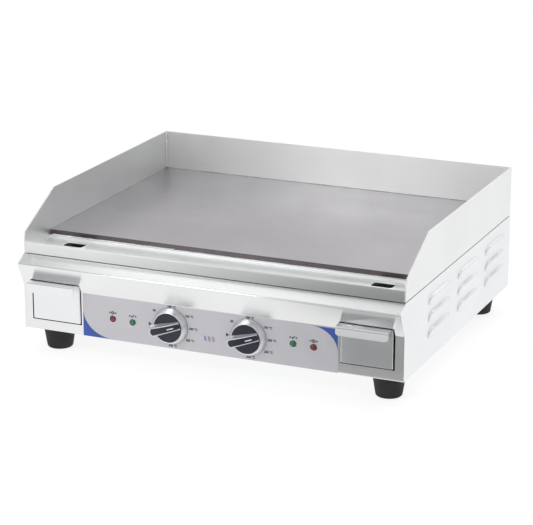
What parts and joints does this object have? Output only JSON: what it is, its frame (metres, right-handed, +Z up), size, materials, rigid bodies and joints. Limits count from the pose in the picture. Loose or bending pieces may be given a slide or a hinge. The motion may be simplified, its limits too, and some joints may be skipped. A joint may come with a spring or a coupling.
{
  "type": "flat top griddle",
  "caption": "Counter-top electric flat top griddle: steel casing with louvred sides, splash walls round a thick plate, front gutter draining into pull-out grease drawers, knob controls.",
  "frame": {"origin": "on the counter under the middle of the whole, feet standing on z = 0", "axes": "+X to the right as the cook sees it, +Y to the back, +Z up"},
  "size_m": [0.609, 0.5232, 0.2305],
  "materials": {
    "casing_steel": "satin stainless sheet",
    "visor_steel": "polished stainless sheet",
    "deck_steel": "satin stainless sheet",
    "plate_steel": "ground and seasoned steel plate",
    "weld": "dressed weld",
    "gasket": "matt",
    "galvanised": "galvanised sheet",
    "label": "satin printed film",
    "bezel": "polished",
    "lens_red": "translucent",
    "lens_green": "translucent",
    "knob_dark": "satin moulded",
    "knob_silver": "satin",
    "rubber_black": "matt",
    "zinc": "zinc plated",
    "bakelite": "matt",
    "copper": "drawn tube",
    "element": "heat tinted sheath",
    "mineral_wool": "felted",
    "nylon": "matt",
    "porcelain": "matt",
    "cable_pvc": "matt",
    "brass": "machined"
  },
  "bodies": {
    "griddle": {"front_fascia": "visor_steel", "side_panel_left": "casing_steel", "side_panel_right": "casing_steel", "rear_panel": "casing_steel", "base_plate": "galvanised", "gutter_pan": "deck_steel", "splash_wall_left": "deck_steel", "splash_wall_right": "deck_steel", "splash_wall_back": "deck_steel", "splash_corner_welds": "weld", "cooking_plate": "plate_steel", "plate_weld_beads": "weld", "plate_rails": "galvanised", "deck_gasket": "gasket", "drain_spout_left": "deck_steel", "drain_spout_right": "deck_steel", "drawer_runners_left": "galvanised", "drawer_runners_right": "galvanised", "control_label": "label", "lamp_holders": "bezel", "power_lamp_lens_left": "lens_red", "ready_lamp_lens_left": "lens_green", "ready_lamp_lens_right": "lens_green", "power_lamp_lens_right": "lens_red", "thermostat_left": "bakelite", "thermostat_right": "bakelite", "capillary_bulb_left": "copper", "capillary_bulb_right": "copper", "high_limit_cutouts": "bakelite", "heating_element_left": "element", "heating_element_right": "element", "element_clamps": "galvanised", "insulation_blanket": "mineral_wool", "heat_shield": "galvanised", "terminal_block": "porcelain", "wiring_loom": "cable_pvc", "cable_gland": "nylon", "gland_locknut": "nylon", "earth_stud": "brass", "foot_front_left": "rubber_black", "foot_front_right": "rubber_black", "foot_rear_left": "rubber_black", "foot_rear_right": "rubber_black", "foot_screws": "zinc", "rear_panel_screws": "zinc", "base_plate_screws": "zinc", "thermostat_screws": "zinc"},
    "drawer_left": {"drawer_box_left": "casing_steel", "drawer_front_left": "casing_steel"},
    "drawer_right": {"drawer_box_right": "casing_steel", "drawer_front_right": "casing_steel"},
    "knob_left": {"knob_skirt_left": "knob_silver", "knob_body_left": "knob_dark", "knob_trim_left": "knob_silver", "thermostat_shaft_left": "zinc"},
    "knob_right": {"knob_skirt_right": "knob_silver", "knob_body_right": "knob_dark", "knob_trim_right": "knob_silver", "thermostat_shaft_right": "zinc"}
  },
  "joints": [
    {"name": "drawer_left_slide", "type": "slide", "parent": "griddle", "child": "drawer_left", "axis": [0, -1, 0], "range_m": [0, 0.185]},
    {"name": "drawer_right_slide", "type": "slide", "parent": "griddle", "child": "drawer_right", "axis": [0, -1, 0], "range_m": [0, 0.185]},
    {"name": "knob_left_turn", "type": "hinge", "parent": "griddle", "child": "knob_left", "pos_m": [-0.0587, -0.24, 0.0712], "axis": [0, 1, 0], "range_deg": [0, 287]},
    {"name": "knob_right_turn", "type": "hinge", "parent": "griddle", "child": "knob_right", "pos_m": [0.0647, -0.24, 0.0712], "axis": [0, 1, 0], "range_deg": [0, 287]}
  ]
}
